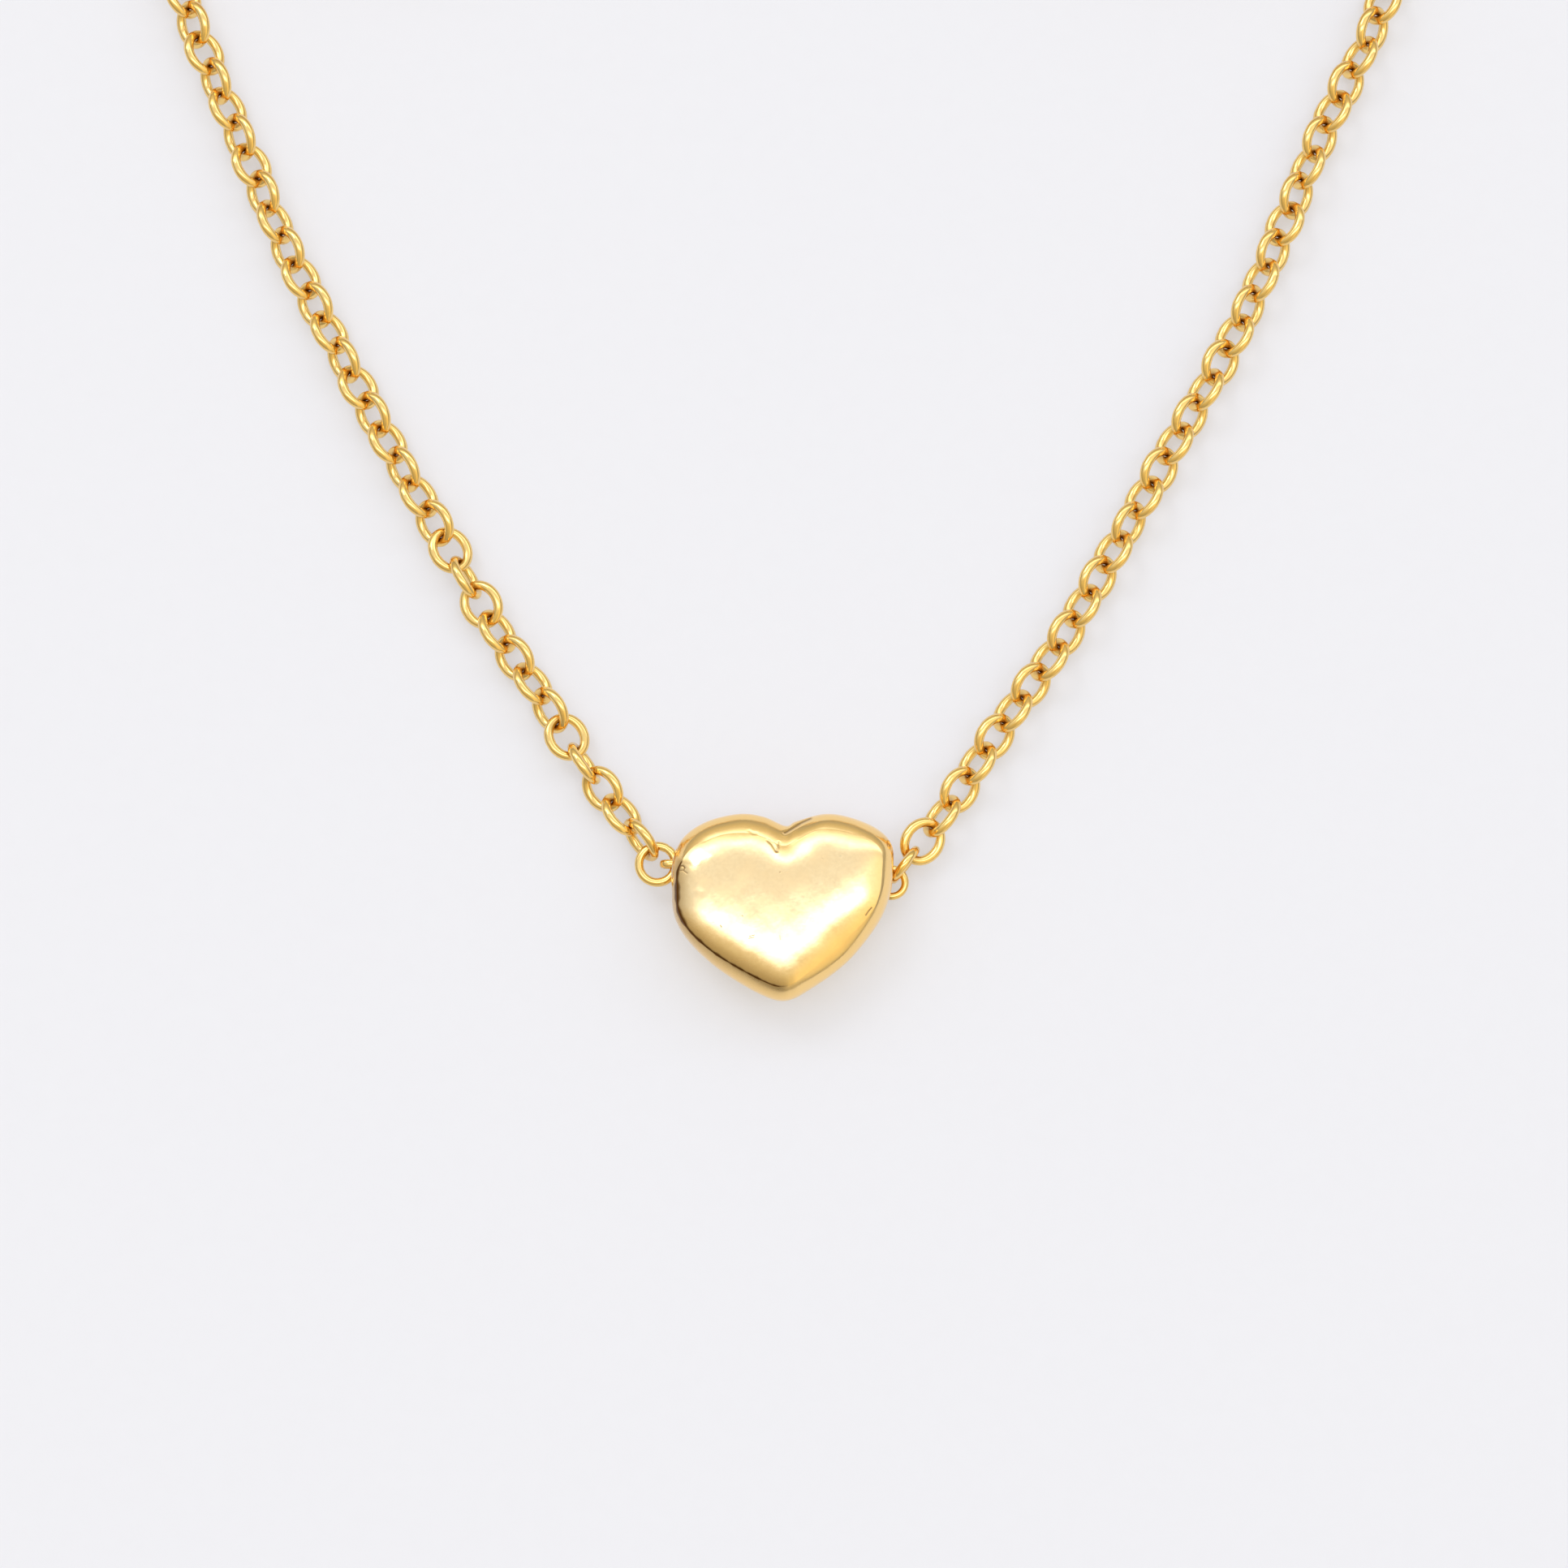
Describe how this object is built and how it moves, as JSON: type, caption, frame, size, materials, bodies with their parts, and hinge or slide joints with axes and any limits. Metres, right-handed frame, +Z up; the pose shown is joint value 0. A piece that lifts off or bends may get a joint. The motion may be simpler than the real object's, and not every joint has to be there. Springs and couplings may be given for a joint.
{
  "type": "pendant necklace",
  "caption": "Puffed heart pendant on a round-wire cable chain, joined by jump rings at both sides, with a spring ring clasp.",
  "frame": {"origin": "middle of the flat back of the heart, on the surface it lies on", "axes": "+Z up out of the heart's face, +Y from the heart's tip towards its notch and the chain, +X to the right seen from the face"},
  "size_m": [0.0536, 0.0612, 0.0031],
  "materials": {
    "polished_gold": "polished, lightly dinged",
    "gold_wire": "polished",
    "spring_steel": "plain"
  },
  "bodies": {
    "heart": {"heart_front": "polished_gold", "heart_back": "polished_gold", "left_eye": "gold_wire", "right_eye": "gold_wire"},
    "left_ring": {"left_jump_ring": "gold_wire"},
    "left_link_01": {"left_link_01": "gold_wire"},
    "left_link_02": {"left_link_02": "gold_wire"},
    "left_link_03": {"left_link_03": "gold_wire"},
    "left_link_04": {"left_link_04": "gold_wire"},
    "left_link_05": {"left_link_05": "gold_wire"},
    "left_link_06": {"left_link_06": "gold_wire"},
    "left_link_07": {"left_link_07": "gold_wire"},
    "left_link_08": {"left_link_08": "gold_wire"},
    "left_link_09": {"left_link_09": "gold_wire"},
    "left_chain": {"left_link_10": "gold_wire", "left_chain_run": "gold_wire", "left_chain_coil": "gold_wire", "left_end_link": "gold_wire"},
    "right_ring": {"right_jump_ring": "gold_wire"},
    "right_link_01": {"right_link_01": "gold_wire"},
    "right_link_02": {"right_link_02": "gold_wire"},
    "right_link_03": {"right_link_03": "gold_wire"},
    "right_link_04": {"right_link_04": "gold_wire"},
    "right_link_05": {"right_link_05": "gold_wire"},
    "right_link_06": {"right_link_06": "gold_wire"},
    "right_link_07": {"right_link_07": "gold_wire"},
    "right_link_08": {"right_link_08": "gold_wire"},
    "right_link_09": {"right_link_09": "gold_wire"},
    "right_chain": {"right_link_10": "gold_wire", "right_chain_run": "gold_wire", "right_chain_coil": "gold_wire", "right_end_link": "gold_wire"},
    "clasp_ring": {"clasp_ring": "gold_wire"},
    "clasp": {"clasp_case": "gold_wire", "clasp_lug": "gold_wire", "clasp_spring": "spring_steel"},
    "clasp_tongue": {"clasp_tongue": "gold_wire"},
    "end_ring": {"end_ring": "gold_wire"}
  },
  "joints": [
    {"name": "left_ring_swing", "type": "hinge", "parent": "heart", "child": "left_ring", "pos_m": [-0.00439, 0.00166, 0.00083], "axis": [0, 0, 1], "range_deg": [-8, 40]},
    {"name": "left_link_01_swing", "type": "hinge", "parent": "left_ring", "child": "left_link_01", "pos_m": [-0.00488, 0.00222, 0.00083], "axis": [-0.7415, -0.5772, 0.342], "range_deg": [-40, 40]},
    {"name": "left_link_02_swing", "type": "hinge", "parent": "left_link_01", "child": "left_link_02", "pos_m": [-0.00559, 0.00314, 0.00083], "axis": [-0.6107, -0.4624, -0.6428], "range_deg": [-40, 40]},
    {"name": "left_link_03_swing", "type": "hinge", "parent": "left_link_02", "child": "left_link_03", "pos_m": [-0.00629, 0.00406, 0.00083], "axis": [0.4953, 0.3657, -0.788], "range_deg": [-40, 40]},
    {"name": "left_link_04_swing", "type": "hinge", "parent": "left_link_03", "child": "left_link_04", "pos_m": [-0.00697, 0.00499, 0.00083], "axis": [0.8073, 0.5523, 0.2079], "range_deg": [-40, 40]},
    {"name": "left_link_05_swing", "type": "hinge", "parent": "left_link_04", "child": "left_link_05", "pos_m": [-0.00762, 0.00594, 0.00083], "axis": [0.1779, 0.1076, 0.9781], "range_deg": [-9, 40]},
    {"name": "left_link_06_swing", "type": "hinge", "parent": "left_link_05", "child": "left_link_06", "pos_m": [-0.00822, 0.00693, 0.00083], "axis": [0.6491, 0.4068, -0.6428], "range_deg": [-40, 40]},
    {"name": "left_link_07_swing", "type": "hinge", "parent": "left_link_06", "child": "left_link_07", "pos_m": [-0.00883, 0.00791, 0.00083], "axis": [-0.6214, -0.4479, -0.6428], "range_deg": [-40, 40]},
    {"name": "left_link_08_swing", "type": "hinge", "parent": "left_link_07", "child": "left_link_08", "pos_m": [-0.00951, 0.00884, 0.00083], "axis": [-0.53, -0.3637, 0.766], "range_deg": [-40, 40]},
    {"name": "left_link_09_swing", "type": "hinge", "parent": "left_link_08", "child": "left_link_09", "pos_m": [-0.01016, 0.00979, 0.00083], "axis": [0.6552, 0.397, 0.6428], "range_deg": [-40, 40]},
    {"name": "left_link_10_swing", "type": "hinge", "parent": "left_link_09", "child": "left_chain", "pos_m": [-0.01076, 0.01078, 0.00083], "axis": [0.2955, 0.1721, -0.9397], "range_deg": [-40, 40]},
    {"name": "right_ring_swing", "type": "hinge", "parent": "heart", "child": "right_ring", "pos_m": [0.00419, 0.00139, 0.00083], "axis": [0.797, -0.604, 0], "range_deg": [-40, 40]},
    {"name": "right_link_01_swing", "type": "hinge", "parent": "right_ring", "child": "right_link_01", "pos_m": [0.00478, 0.00216, 0.00083], "axis": [0.2438, -0.1899, 0.9511], "range_deg": [-40, 8]},
    {"name": "right_link_02_swing", "type": "hinge", "parent": "right_link_01", "child": "right_link_02", "pos_m": [0.00549, 0.00308, 0.00083], "axis": [0.6874, -0.4967, -0.5299], "range_deg": [-40, 40]},
    {"name": "right_link_03_swing", "type": "hinge", "parent": "right_link_02", "child": "right_link_03", "pos_m": [0.00616, 0.00401, 0.00083], "axis": [-0.5182, 0.3324, -0.788], "range_deg": [-40, 40]},
    {"name": "right_link_04_swing", "type": "hinge", "parent": "right_link_03", "child": "right_link_04", "pos_m": [0.00679, 0.00498, 0.00083], "axis": [-0.6423, 0.4175, 0.6428], "range_deg": [-40, 40]},
    {"name": "right_link_05_swing", "type": "hinge", "parent": "right_link_04", "child": "right_link_05", "pos_m": [0.00742, 0.00595, 0.00083], "axis": [0.508, -0.3479, 0.788], "range_deg": [-40, 40]},
    {"name": "right_link_06_swing", "type": "hinge", "parent": "right_link_05", "child": "right_link_06", "pos_m": [0.00807, 0.00691, 0.00083], "axis": [0.6262, -0.4413, -0.6428], "range_deg": [-40, 40]},
    {"name": "right_link_07_swing", "type": "hinge", "parent": "right_link_06", "child": "right_link_07", "pos_m": [0.00873, 0.00785, 0.00083], "axis": [-0.538, 0.3979, -0.7431], "range_deg": [-40, 40]},
    {"name": "right_link_08_swing", "type": "hinge", "parent": "right_link_07", "child": "right_link_08", "pos_m": [0.00942, 0.00878, 0.00083], "axis": [-0.6159, 0.4158, 0.6691], "range_deg": [-40, 40]},
    {"name": "right_link_09_swing", "type": "hinge", "parent": "right_link_08", "child": "right_link_09", "pos_m": [0.01007, 0.00974, 0.00083], "axis": [0.5768, -0.3392, 0.7431], "range_deg": [-40, 40]},
    {"name": "right_link_10_swing", "type": "hinge", "parent": "right_link_09", "child": "right_chain", "pos_m": [0.01065, 0.01073, 0.00083], "axis": [0.6453, -0.3685, -0.6691], "range_deg": [-40, 40]},
    {"name": "clasp_ring_swing", "type": "hinge", "parent": "left_chain", "child": "clasp_ring", "pos_m": [-0.01708, 0.04878, 0.00083], "axis": [-0.8, -0.6, 0], "range_deg": [-40, 40]},
    {"name": "clasp_swing", "type": "hinge", "parent": "clasp_ring", "child": "clasp", "pos_m": [-0.01667, 0.04823, 0.00083], "axis": [0, 0, 1], "range_deg": [-35, 35]},
    {"name": "tongue_draw", "type": "hinge", "parent": "clasp", "child": "clasp_tongue", "pos_m": [-0.0143, 0.04506, 0.00083], "axis": [0, 0, 1], "range_deg": [0, 45], "stiffness_Nm_per_rad": 0.0005, "springref_deg": -11.46, "deforming": ["clasp_spring"]},
    {"name": "end_ring_swing", "type": "hinge", "parent": "right_chain", "child": "end_ring", "pos_m": [0.01708, 0.04878, 0.00083], "axis": [0, 0, 1], "range_deg": [-40, 40]}
  ]
}
